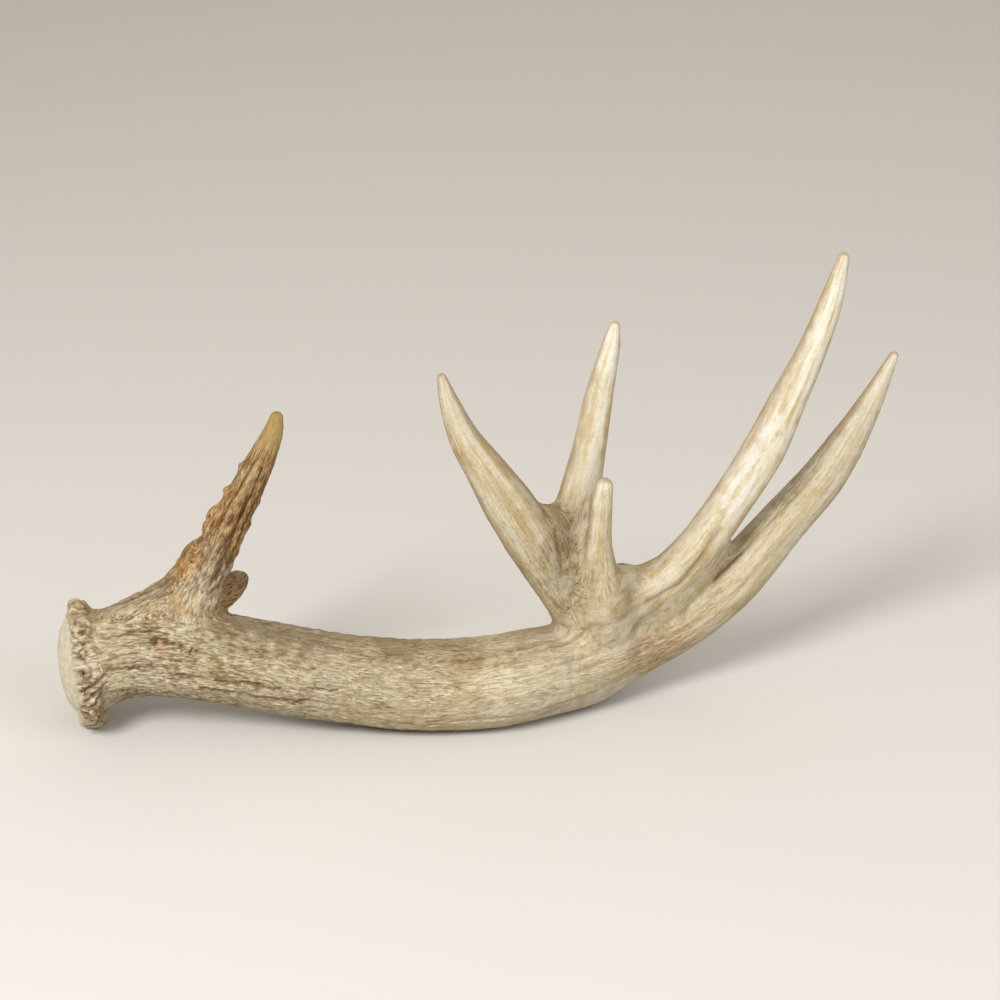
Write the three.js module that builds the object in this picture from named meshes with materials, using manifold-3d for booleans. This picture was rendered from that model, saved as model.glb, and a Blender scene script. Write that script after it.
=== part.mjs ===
// A shed whitetail deer antler lying on its side: burr and seal at -X, tines standing up, +Z up.
// Millimetres. The origin is the bottom centre of the antler's box, on the surface that it lies on.
import * as THREE from 'three';
import { mergeVertices } from 'three/addons/utils/BufferGeometryUtils.js';
import Module from 'manifold-3d';

const wasm = await Module();
wasm.setup();

// Each branch is a row of stations from root to tip: x, y, z on its centre line, then its radius.
const BEAM = [
  [-160, -16.5, 27, 18.6],
  [-137.5, -17.5, 32.5, 18.7],
  [-113, -18.5, 31, 18.6],
  [-88.5, -19.5, 27, 18.3],
  [-56, -20.5, 21.5, 17.9],
  [-23.5, -20.5, 18.3, 18.7],
  [9, -17, 18.5, 18.9],
  [25.5, -10.5, 19.2, 18.1],
  [42, -3, 19, 16],
  [61.5, 6, 22, 13.4],
  [86, 15.5, 30, 12],
  [105.5, 22, 44, 11.8],
  [126.5, 29, 67, 10],
  [143.5, 33, 87, 9.2],
  [152, 34.5, 101, 7.9],
  [162, 36, 120.5, 4.9],
  [170, 37, 139.5, 2],
];
// A swelling behind the beam, below the second tine, on which the antler also rests.
const HEEL = [
  [18, -11, 17.5, 13],
  [30, -4.5, 15.4, 14.6],
  [42, 1, 14.3, 14.6],
  [52, 4.5, 17.5, 12.2],
  [64, 9, 22, 9],
];
const BROW_TINE = [
  [-121, -17, 34, 17],
  [-119, -17, 44, 13.8],
  [-116.5, -17, 53, 11.3],
  [-112.5, -17, 62, 8.9],
  [-107.2, -17, 71, 8.4],
  [-102, -16.5, 81.5, 8],
  [-95.5, -16, 94.5, 7.1],
  [-86.5, -15.5, 112.5, 5.9],
  [-79.5, -16, 128, 3.9],
  [-78, -16.5, 134, 2.6],
];
// The ridge of bone that ties the brow tine's root to the beam, on the burr's side.
const BROW_WEB = [
  [-150, -17.5, 41, 7],
  [-141, -17.5, 48, 6.5],
  [-132, -17.5, 53.3, 6.2],
  [-123.5, -17.3, 58.5, 6],
  [-117, -17, 66, 5.5],
  [-112.5, -17, 74, 5.2],
];
const BROW_KICKER = [
  [-110, -15, 55, 7.3],
  [-103.5, -5, 53.5, 6.9],
  [-100, 3, 53, 5.3],
  [-98, 7, 53, 3.3],
];
const SECOND_TINE = [
  [42, -4, 30, 8],
  [39, -5.5, 41, 7],
  [36, -6.5, 48.5, 7.2],
  [28.6, -8, 63.5, 9.3],
  [21.3, -9.5, 79, 11],
  [11.7, -10.5, 95.5, 10.1],
  [3.4, -11, 109.5, 8.1],
  [-4.6, -12, 123, 6.3],
  [-10.8, -13.5, 139.5, 3.9],
  [-13.5, -15, 150, 1.9],
];
// The flat of bone between the two points of the second tine.
const PALM = [
  [40.5, -4, 38, 7],
  [35.5, -5, 55, 8],
  [31.5, -5, 72, 8.5],
  [29.5, -5, 83, 8],
];
const SECOND_TINE_REAR = [
  [42, -2, 36, 8.5],
  [37.5, -0.5, 60.5, 9],
  [38.2, 1, 78, 8.9],
  [40.5, 2, 90.5, 8.5],
  [44.7, 4, 112, 6.8],
  [48, 5, 133, 5.8],
  [52.7, 4.5, 156.5, 3.7],
  [54, 4, 164.5, 2],
];
const SHORT_TINE = [
  [52, -3, 30, 12],
  [51, -6.5, 46, 11],
  [50, -8.5, 57, 9.2],
  [49, -10, 66, 7.2],
  [48.7, -11, 76, 5.4],
  [49, -12, 84, 4.7],
  [49.5, -13, 95, 4.2],
  [50.2, -13.5, 103.5, 3.6],
];
// The saddle of bone between the short tine's root and the third tine.
const SADDLE = [
  [54, -5, 58, 6],
  [59.6, 0.5, 56.5, 6.2],
  [63, 4, 54, 6],
  [66.5, 7, 52.2, 6],
  [71, 9.5, 51.5, 6],
];
const THIRD_TINE = [
  [40, -4, 28, 10.7],
  [54.5, 1, 36, 9.9],
  [71, 6.5, 47, 9.5],
  [87.5, 11.5, 61, 9.1],
  [104, 16, 84.5, 8.6],
  [116.5, 18, 106, 8.8],
  [125.5, 18.5, 127.5, 7.4],
  [134, 18.5, 149, 5.9],
  [140.5, 18, 170.5, 4.7],
  [144, 17, 188, 2.4],
];
// The low ridge of bone that ties the third tine to the beam beyond their fork.
const FORK_WEB = [
  [66, 5, 33, 8],
  [77, 9.5, 40.5, 8],
  [90, 15, 51.5, 7],
  [99, 19, 59.5, 4.5],
  [103, 20.5, 63, 2.5],
];

// Half outline of the burr and seal, from the middle of the seal to inside the beam:
// distance from the burr's axis, then distance along it.
const BURR_OUTLINE = [
  [0, -5.8],
  [8, -5.4],
  [14.5, -3.8],
  [18.4, -1.6],
  [20, 0.2],
  [23.4, 0.4],
  [25.2, 2.2],
  [25.4, 5.2],
  [24, 7.6],
  [20.8, 9.6],
  [19, 12.5],
  [17, 16],
  [0, 16],
];
const BURR_CENTRE = [-164.8, -18, 26.2];
const BURR_AXIS = [0.972, 0.235, 0.03]; // from the seal towards the beam
const BURR_RING_FROM = 22; // outline radius beyond which the knobs stand out
// Knobs round the burr: angle in degrees from the bottom towards -Y, and height.
const BURR_KNOBS = [
  [-14, 2.2],
  [13, 1.9],
  [45, 1.0],
  [72, 1.8],
  [101, 0.9],
  [130, 1.7],
  [158, 1.3],
  [184, 2.0],
  [214, 1.1],
  [243, 1.6],
  [272, 0.8],
  [304, 1.5],
];
const KNOB_HALF_WIDTH = 13; // degrees
const BURR_SIDES = 48;

const GAP = 0.3; // between neighbouring solids
const TIP_SPLIT = 0.62; // where the beam is divided, as a share of its stations
const BEYOND = 400; // reaches past the beam's tip
const FLOOR_DEPTH = 60;

const BONE = { color: 0xd9ceae, roughness: 0.62, metalness: 0 };
const STAINED_BONE = { color: 0xb08a58, roughness: 0.72, metalness: 0 };

/** Centre, radius and frame of each ring along a row of stations, with a rounded tip. */
function ringsAlong(stations, spacing, grow) {
  const curve = new THREE.CatmullRomCurve3(
    stations.map(([x, y, z]) => new THREE.Vector3(x, y, z)),
    false,
    'centripetal',
  );
  const count = Math.ceil(curve.getLength() / spacing);
  const rings = [];
  let side = new THREE.Vector3(0, 1, 0);
  for (let i = 0; i <= count; i += 1) {
    const t = curve.getUtoTmapping(i / count);
    const place = t * (stations.length - 1);
    const k = Math.min(Math.floor(place), stations.length - 2);
    const radius = THREE.MathUtils.lerp(stations[k][3], stations[k + 1][3], place - k) + grow;
    const along = curve.getTangent(t);
    side = side.clone().addScaledVector(along, -side.dot(along)).normalize();
    rings.push({ centre: curve.getPoint(t), radius, along, side });
  }
  const last = rings[rings.length - 1];
  for (const degrees of [35, 65, 90]) {
    const angle = THREE.MathUtils.degToRad(degrees);
    const centre = last.centre.clone().addScaledVector(last.along, last.radius * Math.sin(angle));
    rings.push({ ...last, centre, radius: last.radius * Math.cos(angle) });
  }
  return rings;
}

/** A tapered branch: a lathe turned on Y with one unit per ring, then bent along the centre line. */
function branchGeometry(stations, { spacing, sides, grow = 0 }) {
  const rings = ringsAlong(stations, spacing, grow);
  const profile = rings.map((ring, i) => new THREE.Vector2(ring.radius, i));
  profile[profile.length - 1].x = 0;
  profile.unshift(new THREE.Vector2(0, 0));
  const geometry = new THREE.LatheGeometry(profile, sides);
  const position = geometry.getAttribute('position');
  const vertex = new THREE.Vector3();
  for (let i = 0; i < position.count; i += 1) {
    vertex.fromBufferAttribute(position, i);
    const ring = rings[Math.round(vertex.y)];
    const across = ring.side.clone().cross(ring.along);
    const bent = ring.centre
      .clone()
      .addScaledVector(ring.side, vertex.x)
      .addScaledVector(across, vertex.z);
    position.setXYZ(i, bent.x, bent.y, bent.z);
  }
  return geometry;
}

/** How far the burr's ring stands out at an angle, in degrees from the bottom. */
function knobHeight(angle) {
  let height = 0;
  for (const [middle, top] of BURR_KNOBS) {
    const apart = Math.abs(((angle - middle + 540) % 360) - 180);
    if (apart < KNOB_HALF_WIDTH) {
      height = Math.max(height, top * Math.cos((apart / KNOB_HALF_WIDTH) * (Math.PI / 2)));
    }
  }
  return height;
}

/** The burr's ring of knobs with the domed seal where the antler came away from the skull. */
function burrGeometry() {
  const outline = BURR_OUTLINE.map(([radius, along]) => new THREE.Vector2(radius, along));
  const geometry = new THREE.LatheGeometry(outline, BURR_SIDES);
  const along = new THREE.Vector3(...BURR_AXIS).normalize();
  const down = new THREE.Vector3(0, 0, -1).addScaledVector(along, along.z).normalize();
  const across = down.clone().cross(along);
  const position = geometry.getAttribute('position');
  const vertex = new THREE.Vector3();
  for (let i = 0; i < position.count; i += 1) {
    vertex.fromBufferAttribute(position, i);
    const radius = Math.hypot(vertex.x, vertex.z);
    if (radius > BURR_RING_FROM) {
      const angle = THREE.MathUtils.radToDeg(Math.atan2(vertex.z, vertex.x));
      const stretch = 1 + knobHeight(angle) / radius;
      vertex.x *= stretch;
      vertex.z *= stretch;
    }
    const placed = new THREE.Vector3(...BURR_CENTRE)
      .addScaledVector(along, vertex.y)
      .addScaledVector(down, vertex.x)
      .addScaledVector(across, vertex.z);
    position.setXYZ(i, placed.x, placed.y, placed.z);
  }
  return geometry;
}

/** A solid from a closed geometry, without the flat triangles that a lathe leaves on its axis. */
function solid(geometry) {
  const bare = geometry.clone();
  bare.deleteAttribute('normal');
  bare.deleteAttribute('uv');
  const merged = mergeVertices(bare, 1e-3);
  const index = merged.getIndex().array;
  const triangles = [];
  for (let i = 0; i < index.length; i += 3) {
    const [a, b, c] = [index[i], index[i + 1], index[i + 2]];
    if (a !== b && b !== c && c !== a) triangles.push(a, b, c);
  }
  return new wasm.Manifold(
    new wasm.Mesh({
      numProp: 3,
      vertProperties: new Float32Array(merged.getAttribute('position').array),
      triVerts: new Uint32Array(triangles),
    }),
  );
}

/** A named mesh from a solid. */
function mesh(name, body, look) {
  const { vertProperties, triVerts } = body.getMesh();
  const geometry = new THREE.BufferGeometry();
  geometry.setAttribute('position', new THREE.BufferAttribute(vertProperties, 3));
  geometry.setIndex(new THREE.BufferAttribute(triVerts, 1));
  geometry.computeVertexNormals();
  const made = new THREE.Mesh(geometry, new THREE.MeshStandardMaterial(look));
  made.name = name;
  return made;
}

/** Everything on the tip's side of the beam's last fork, moved towards the tip by shift. */
function beyondFork(shift) {
  const curve = new THREE.CatmullRomCurve3(
    BEAM.map(([x, y, z]) => new THREE.Vector3(x, y, z)),
    false,
    'centripetal',
  );
  const along = curve.getTangent(TIP_SPLIT);
  const box = new THREE.BoxGeometry(BEYOND, BEYOND, BEYOND);
  box.translate(BEYOND / 2 + shift, 0, 0);
  box.applyQuaternion(
    new THREE.Quaternion().setFromUnitVectors(new THREE.Vector3(1, 0, 0), along),
  );
  const at = curve.getPoint(TIP_SPLIT);
  box.translate(at.x, at.y, at.z);
  return solid(box);
}

const thick = { spacing: 9, sides: 24 };
const slim = { spacing: 8, sides: 14 };
const grown = (detail) => ({ ...detail, grow: GAP });

const floor = new THREE.BoxGeometry(600, 300, FLOOR_DEPTH);
floor.translate(0, 0, -FLOOR_DEPTH / 2);
const beam = solid(branchGeometry(BEAM, thick)).add(solid(branchGeometry(HEEL, thick)));
const beamRoom = solid(branchGeometry(BEAM, grown(thick))).add(
  solid(branchGeometry(HEEL, grown(thick))),
);
const mainBeam = beam
  .subtract(beyondFork(0))
  .add(solid(burrGeometry()))
  .subtract(solid(floor));
const beamTip = beam.intersect(beyondFork(GAP));

const thirdTine = solid(branchGeometry(THIRD_TINE, slim)).add(
  solid(branchGeometry(FORK_WEB, slim)),
);
const thirdTineRoom = solid(branchGeometry(THIRD_TINE, grown(slim))).add(
  solid(branchGeometry(FORK_WEB, grown(slim))),
);
const secondTine = solid(branchGeometry(SECOND_TINE, slim)).add(solid(branchGeometry(PALM, slim)));
const secondTineRoom = solid(branchGeometry(SECOND_TINE, grown(slim))).add(
  solid(branchGeometry(PALM, grown(slim))),
);
const rearTine = solid(branchGeometry(SECOND_TINE_REAR, slim));
const rearTineRoom = solid(branchGeometry(SECOND_TINE_REAR, grown(slim)));
const shortTine = solid(branchGeometry(SHORT_TINE, slim)).add(solid(branchGeometry(SADDLE, slim)));
const browTine = solid(branchGeometry(BROW_TINE, slim)).add(solid(branchGeometry(BROW_WEB, slim)));
const browTineRoom = solid(branchGeometry(BROW_TINE, grown(slim))).add(
  solid(branchGeometry(BROW_WEB, grown(slim))),
);
const browKicker = solid(branchGeometry(BROW_KICKER, { spacing: 5, sides: 12 }));

const antler = new THREE.Group();
antler.add(
  mesh('main_beam', mainBeam, BONE),
  mesh('beam_tip', beamTip, BONE),
  mesh('third_tine', thirdTine.subtract(beamRoom), BONE),
  mesh('second_tine', secondTine.subtract(beamRoom).subtract(thirdTineRoom), BONE),
  mesh(
    'second_tine_rear',
    rearTine.subtract(beamRoom).subtract(thirdTineRoom).subtract(secondTineRoom),
    BONE,
  ),
  mesh(
    'short_tine',
    shortTine
      .subtract(beamRoom)
      .subtract(thirdTineRoom)
      .subtract(secondTineRoom)
      .subtract(rearTineRoom),
    BONE,
  ),
  mesh('brow_tine', browTine.subtract(beamRoom), STAINED_BONE),
  mesh('brow_kicker', browKicker.subtract(browTineRoom).subtract(beamRoom), STAINED_BONE),
);

export default antler;
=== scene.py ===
"""Looks of a shed whitetail deer antler: one grown surface with furrows, pearls, a burr and a seal."""

import math

import bpy
import numpy as np
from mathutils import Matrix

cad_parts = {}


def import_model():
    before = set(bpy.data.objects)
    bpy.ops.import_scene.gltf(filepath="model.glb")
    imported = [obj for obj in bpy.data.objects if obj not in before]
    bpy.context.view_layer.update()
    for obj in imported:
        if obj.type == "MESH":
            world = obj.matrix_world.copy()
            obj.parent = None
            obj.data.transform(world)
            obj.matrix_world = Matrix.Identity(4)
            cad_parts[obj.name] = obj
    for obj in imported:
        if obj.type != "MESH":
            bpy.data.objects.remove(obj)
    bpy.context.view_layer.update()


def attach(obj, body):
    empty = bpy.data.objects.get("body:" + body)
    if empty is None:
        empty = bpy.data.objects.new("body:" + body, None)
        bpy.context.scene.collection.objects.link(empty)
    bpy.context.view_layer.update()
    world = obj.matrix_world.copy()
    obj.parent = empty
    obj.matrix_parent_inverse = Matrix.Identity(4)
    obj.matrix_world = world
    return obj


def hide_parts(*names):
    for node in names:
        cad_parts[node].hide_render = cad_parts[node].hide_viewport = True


MM = 0.001

# Shape. Each branch is a row of stations from root to tip: x, y, z and radius, in millimetres.
# These are the stations of the solid model.
BRANCHES = {
    "beam": [
        (-160, -16.5, 27, 18.6), (-137.5, -17.5, 32.5, 18.7), (-113, -18.5, 31, 18.6),
        (-88.5, -19.5, 27, 18.3), (-56, -20.5, 21.5, 17.9), (-23.5, -20.5, 18.3, 18.7),
        (9, -17, 18.5, 18.9), (25.5, -10.5, 19.2, 18.1), (42, -3, 19, 16), (61.5, 6, 22, 13.4),
        (86, 15.5, 30, 12), (105.5, 22, 44, 11.8), (126.5, 29, 67, 10), (143.5, 33, 87, 9.2),
        (152, 34.5, 101, 7.9), (162, 36, 120.5, 4.9), (170, 37, 139.5, 2),
    ],
    "heel": [
        (18, -11, 17.5, 13), (30, -4.5, 15.4, 14.6), (42, 1, 14.3, 14.6), (52, 4.5, 17.5, 12.2),
        (64, 9, 22, 9),
    ],
    "brow_tine": [
        (-121, -17, 34, 17), (-119, -17, 44, 13.8), (-116.5, -17, 53, 11.3), (-112.5, -17, 62, 8.9),
        (-107.2, -17, 71, 8.4), (-102, -16.5, 81.5, 8), (-95.5, -16, 94.5, 7.1),
        (-86.5, -15.5, 112.5, 5.9), (-79.5, -16, 128, 3.9), (-78, -16.5, 134, 2.6),
    ],
    "brow_web": [
        (-150, -17.5, 41, 7), (-141, -17.5, 48, 6.5), (-132, -17.5, 53.3, 6.2), (-123.5, -17.3, 58.5, 6),
        (-117, -17, 66, 5.5), (-112.5, -17, 74, 5.2),
    ],
    "brow_kicker": [(-110, -15, 55, 7.3), (-103.5, -5, 53.5, 6.9), (-100, 3, 53, 5.3), (-98, 7, 53, 3.3)],
    "second_tine": [
        (42, -4, 30, 8), (39, -5.5, 41, 7), (36, -6.5, 48.5, 7.2), (28.6, -8, 63.5, 9.3),
        (21.3, -9.5, 79, 11), (11.7, -10.5, 95.5, 10.1), (3.4, -11, 109.5, 8.1), (-4.6, -12, 123, 6.3),
        (-10.8, -13.5, 139.5, 3.9), (-13.5, -15, 150, 1.9),
    ],
    "palm": [(40.5, -4, 38, 7), (35.5, -5, 55, 8), (31.5, -5, 72, 8.5), (29.5, -5, 83, 8)],
    "second_tine_rear": [
        (42, -2, 36, 8.5), (37.5, -0.5, 60.5, 9), (38.2, 1, 78, 8.9), (40.5, 2, 90.5, 8.5),
        (44.7, 4, 112, 6.8), (48, 5, 133, 5.8), (52.7, 4.5, 156.5, 3.7), (54, 4, 164.5, 2),
    ],
    "short_tine": [
        (52, -3, 30, 12), (51, -6.5, 46, 11), (50, -8.5, 57, 9.2), (49, -10, 66, 7.2),
        (48.7, -11, 76, 5.4), (49, -12, 84, 4.7), (49.5, -13, 95, 4.2), (50.2, -13.5, 103.5, 3.6),
    ],
    "saddle": [
        (54, -5, 58, 6), (59.6, 0.5, 56.5, 6.2), (63, 4, 54, 6), (66.5, 7, 52.2, 6), (71, 9.5, 51.5, 6),
    ],
    "third_tine": [
        (40, -4, 28, 10.7), (54.5, 1, 36, 9.9), (71, 6.5, 47, 9.5), (87.5, 11.5, 61, 9.1),
        (104, 16, 84.5, 8.6), (116.5, 18, 106, 8.8), (125.5, 18.5, 127.5, 7.4), (134, 18.5, 149, 5.9),
        (140.5, 18, 170.5, 4.7), (144, 17, 188, 2.4),
    ],
    "fork_web": [
        (66, 5, 33, 8), (77, 9.5, 40.5, 8), (90, 15, 51.5, 7), (99, 19, 59.5, 4.5), (103, 20.5, 63, 2.5),
    ],
}

# For each branch, in the order in which they join the beam: how far bone fills the angle where
# it meets what it grows from, how far up it still wears that one's skin, and the radius at which
# its patterns keep their true width. All are in mm, and 0 where there is none.
JOINS = {
    "beam": (0, 0, 18), "heel": (8, 0, 0), "brow_tine": (5, 20, 10), "brow_web": (6, 4, 8),
    "brow_kicker": (4, 4, 7), "second_tine": (3, 26, 9), "palm": (6, 12, 8),
    "second_tine_rear": (5, 26, 8), "short_tine": (7, 36, 7), "third_tine": (6, 10, 9),
    "saddle": (5, 0, 6), "fork_web": (4, 4, 7), "burr": (4, 0, 24),
}

# The burr and seal: half outline as (distance from the axis, distance along it).
BURR_OUTLINE = [
    (0, -5.8), (8, -5.4), (14.5, -3.8), (18.4, -1.6), (20, 0.2), (23.4, 0.4), (25.2, 2.2), (25.4, 5.2),
    (24, 7.6), (20.8, 9.6), (19, 12.5), (17, 16), (0, 16),
]
BURR_CENTRE = (-164.8, -18, 26.2)
BURR_AXIS = (0.972, 0.235, 0.03)
BURR_RING_FROM = 20.5
BEAM_STARTS = 4  # along the burr's axis
# Knobs round the burr: angle in degrees from the bottom towards -Y, and height.
BURR_KNOBS = [
    (-14, 2.2), (13, 1.9), (45, 1), (72, 1.8), (101, 0.9), (130, 1.7), (158, 1.3), (184, 2), (214, 1.1),
    (243, 1.6), (272, 0.8), (304, 1.5),
]
KNOB_HALF_WIDTH = 13
KNOB_FADE = 3  # mm beyond BURR_RING_FROM in which the knobs reach their height
BURR_REACH = 30  # no part of the burr is further from its centre
TIP_TURNS = (0.5, 1, 1.4)  # radians round a tip where its rings lie
SLOPE_STEP = 0.1  # mm between the samples that give a slope

STEP = 4.0  # mm between samples of a centre line
FINE_STEP = 1.0  # the same, where patterns are laid along it
ROUGH_VOXEL = 2.0  # mm, the size of a face while the branches are joined
VOXEL = 0.66  # mm, the size of a face of the skin
REACH = 14.0  # mm beyond which a branch no longer matters to a point
FAR = 1000.0
RIM_DEPTH = 1.5  # mm, how far below the skin a piece's closing face lies

# Pieces. The skin is one grown surface, cut at the forks into the nodes of the solid model.
# The node that a branch belongs to, where that isn't the node of its own name.
PIECE_OF = {
    "beam": "main_beam", "burr": "main_beam", "brow_web": "brow_tine", "palm": "second_tine",
    "saddle": "short_tine", "fork_web": "third_tine",
}
SLOT_OF = {
    "main_beam": "beam_bone", "beam_tip": "tine_bone", "brow_tine": "stained_bone",
    "brow_kicker": "stained_bone", "second_tine": "tine_bone", "second_tine_rear": "tine_bone",
    "short_tine": "tine_bone", "third_tine": "tine_bone",
}
TIP_FROM = 0.62  # the share of the beam's length where beam_tip starts
ROOT_PULL = 0.5
JOIN_SOFTNESS = 1.8  # mm

# Relief. Rows run from root to tip: mm along the branch, then the height in hundredths of a mm
# of the broad flutes, the furrows, the fine streaks, the short-grained grit and the pearls.
RELIEF = {
    "beam": [
        (0, 70, 60, 26, 25, 40), (30, 70, 55, 24, 34, 35), (60, 50, 50, 16, 42, 25),
        (130, 40, 40, 14, 34, 10), (165, 35, 25, 16, 16, 0), (200, 40, 20, 16, 10, 0),
        (230, 45, 20, 14, 7, 0), (300, 50, 15, 10, 6, 0), (400, 20, 3, 3, 2, 0),
    ],
    "burr": [
        (-6, 0, 0, 0, 12, 5), (-1.5, 0, 0, 0, 15, 20), (1, 10, 15, 5, 20, 130), (8, 30, 40, 10, 20, 100),
        (13, 60, 50, 12, 15, 40),
    ],
    "brow_tine": [
        (0, 50, 35, 10, 20, 20), (25, 50, 40, 12, 15, 40), (40, 90, 50, 14, 20, 65),
        (75, 80, 45, 12, 20, 45), (95, 30, 15, 6, 6, 10), (112, 8, 2, 2, 2, 0),
    ],
    "brow_web": [(0, 80, 90, 16, 15, 20), (25, 120, 130, 20, 15, 40), (50, 90, 80, 16, 15, 60)],
    "brow_kicker": [(0, 40, 30, 10, 20, 30), (20, 20, 10, 5, 15, 20)],
    "second_tine": [(0, 30, 12, 6, 5, 0), (70, 20, 4, 4, 5, 0), (150, 6, 0, 2, 2, 0)],
    "palm": [(0, 30, 12, 6, 6, 0), (50, 30, 8, 5, 6, 0)],
    "second_tine_rear": [(0, 30, 10, 6, 5, 0), (70, 15, 3, 3, 3, 0), (140, 5, 0, 2, 2, 0)],
    "short_tine": [(0, 20, 10, 6, 5, 0), (50, 12, 3, 3, 5, 0), (80, 6, 0, 2, 3, 0)],
    "saddle": [(0, 30, 25, 8, 8, 0)],
    "third_tine": [
        (0, 40, 25, 8, 6, 0), (60, 40, 20, 8, 5, 0), (150, 25, 6, 4, 3, 0), (200, 6, 0, 2, 2, 0),
    ],
    "fork_web": [(0, 40, 20, 8, 5, 0), (60, 20, 10, 5, 4, 0)],
}
# Marks of their own: branch and kind, then for each its half width and depth in mm and its
# places along the branch in mm and round it in degrees. Crevices, clean grooves and ridges are
# lines, pits and nubs are spots, and stitches are a line of small pits.
MARKS = [
    ("beam", "crevice", [
        (0.8, 0.9, (57, 180), (60, 181), (66, 179), (74, 176), (79, 180), (83, 176)),
        (0.6, 0.5, (91, 173), (98, 167), (102, 169), (106, 166)),
        (0.7, 0.5, (39, 180), (46, 181), (52, 179)),
        (0.7, 0.6, (51, 195), (57, 195), (65, 193), (75, 195), (88, 191), (92, 194)),
        (0.6, 0.5, (90, 193), (95, 186)), (0.7, 0.5, (13, 169), (23, 174), (32, 173)),
        (0.6, 0.5, (15, 133), (20, 133), (25, 127), (30, 127)),
        (0.6, 1, (30.5, 141), (31, 138), (33, 136), (35, 136.5), (38, 139)),
    ]),
    ("beam", "nub", [(3.6, 0.8, (34, 146))]),
    ("beam", "pit", [
        (1.4, 0.9, (32, 141)), (1.2, 0.8, (36, 141)), (1, 0.6, (39, 141)), (0.9, 0.6, (42, 143)),
        (0.8, 0.5, (42.5, 148)), (0.9, 0.5, (46, 147)), (0.8, 0.5, (48, 146)),
    ]),
    ("beam", "ridge", [(8, 2, (11, 135), (11, 150), (11, 165))]),
    ("beam", "groove", [
        (0.9, 0.5, (146, 120), (160, 119), (175, 113), (192, 109), (212, 106)),
        (0.8, 0.4, (158, 132), (172, 129), (186, 121), (202, 118)),
        (0.8, 0.4, (186, 146), (198, 143), (214, 136), (228, 134)),
        (0.8, 0.4, (140, 205), (160, 203), (180, 206), (205, 200)),
    ]),
    ("brow_tine", "crevice", [
        (0.9, 0.9, (34, 238), (43, 231), (56, 234), (68, 228), (80, 232)),
        (0.7, 0.7, (38, 215), (50, 212), (60, 205), (74, 200), (88, 195)),
        (1.6, 0.6, (36, 205), (48, 203), (60, 200), (74, 196)),
        (0.8, 0.7, (60, 150), (68, 146), (80, 150), (92, 158)),
    ]),
    ("brow_tine", "ridge", [(1.6, 0.9, (52, 170), (66, 160), (80, 168), (90, 172))]),
    ("brow_tine", "nub", [
        (3.6, 2.4, (60, 90)), (2.4, 1.6, (55, 104)), (2, 1.2, (63, 112)), (3.4, 2, (41, 86)),
        (2.2, 1.5, (36, 100)), (2, 1.2, (43, 112)), (1.8, 1.2, (72, 96)), (1.6, 1, (84, 92)),
    ]),
    ("brow_tine", "pit", [
        (1.2, 1.2, (38.5, 108)), (1.2, 1.2, (40.5, 100)), (1, 1, (57, 98)), (1, 1, (60, 106)),
    ]),
    ("brow_kicker", "groove", [(16, 0.1, (12, 160))]),
    ("burr", "crevice", [
        (0.9, 1.6, (0.9, 90), (5.6, 95), (9.5, 101), (12.5, 106)),
        (0.8, 1.5, (2.5, 82), (5.6, 86), (8.6, 91), (12, 95)), (0.7, 1.3, (1.5, 75), (6, 77), (9, 83)),
        (0.6, 1, (2, 68), (5, 64), (8, 70)), (0.6, 0.9, (0.5, 123), (3.5, 121), (6, 124)),
        (0.6, 0.8, (2, 158), (5, 152), (9, 150)),
    ]),
    ("burr", "pit", [
        (1.3, 1.8, (0.4, 134)), (1.4, 1.8, (4.2, 135)), (1.1, 1.3, (2.6, 122)), (0.9, 1, (-0.8, 118)),
        (1.6, 2, (2.6, 108.5)), (0.9, 0.9, (4.6, 103)), (0.9, 0.6, (4.5, 146)), (0.8, 0.6, (6.5, 140)),
    ]),
    ("burr", "nub", [
        (2.2, 1.2, (0.2, 126)), (1.8, 1, (-0.2, 114)), (3, 2.4, (8.5, 14)), (2.2, 1.5, (4, 62)),
    ]),
    ("burr", "ridge", [(5, 2.2, (11, 95), (11, 120), (11, 145))]),
    ("third_tine", "stitches", [
        (0.4, 0.2, (70, 150), (88, 149), (106, 153), (126, 173), (142, 190)),
        (0.35, 0.15, (50, 165), (62, 160), (80, 168), (96, 166)),
    ]),
]
# How dark each kind of mark is painted inside: dirt, with painted shade in its hollow.
DIRT_AND_SHADE_IN = {"pit": 1.0, "crevice": 0.8, "groove": 0.3, "stitches": 0.3}
RAGGED = 0.9  # mm, how far a mark's edge strays
RAGGED_WIDTH = 2.2  # mm, how wide each stray is
# Creases where branches press against each other: half width and depth in mm, how dark they are painted,
# as dirt with painted shade in the crease, then the places that they run through.
CREASES = [
    (1.5, 1.2, 0.35, [(99, 5.5, 75.5), (91, 3, 63.5), (83, 0.5, 53.5), (70.5, -3.5, 47.5)]),
    (2.2, 0.8, 0.3, [(70.5, -3.5, 47.5), (64, -10, 46.5), (57.5, -15, 45.5), (46, -16.5, 42)]),
    (1, 1, 0.8, [(97, 11, 48), (100, 14, 51.5), (108.5, 18, 59.5)]),
    (1.2, 0.7, 0.25, [(108.5, 18, 59.5), (117, 21, 68), (125, 23, 76), (133, 25, 85), (141, 27.5, 95)]),
    (1.3, 1.2, 0.6, [(43, -7, 93), (42.5, -11, 82), (41, -14.5, 68), (38.5, -15.5, 56)]),
    (1.8, 1, 0.4, [(26, -9, 96), (29, -12, 88), (32, -15, 78), (35, -16, 66)]),
]
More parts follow.
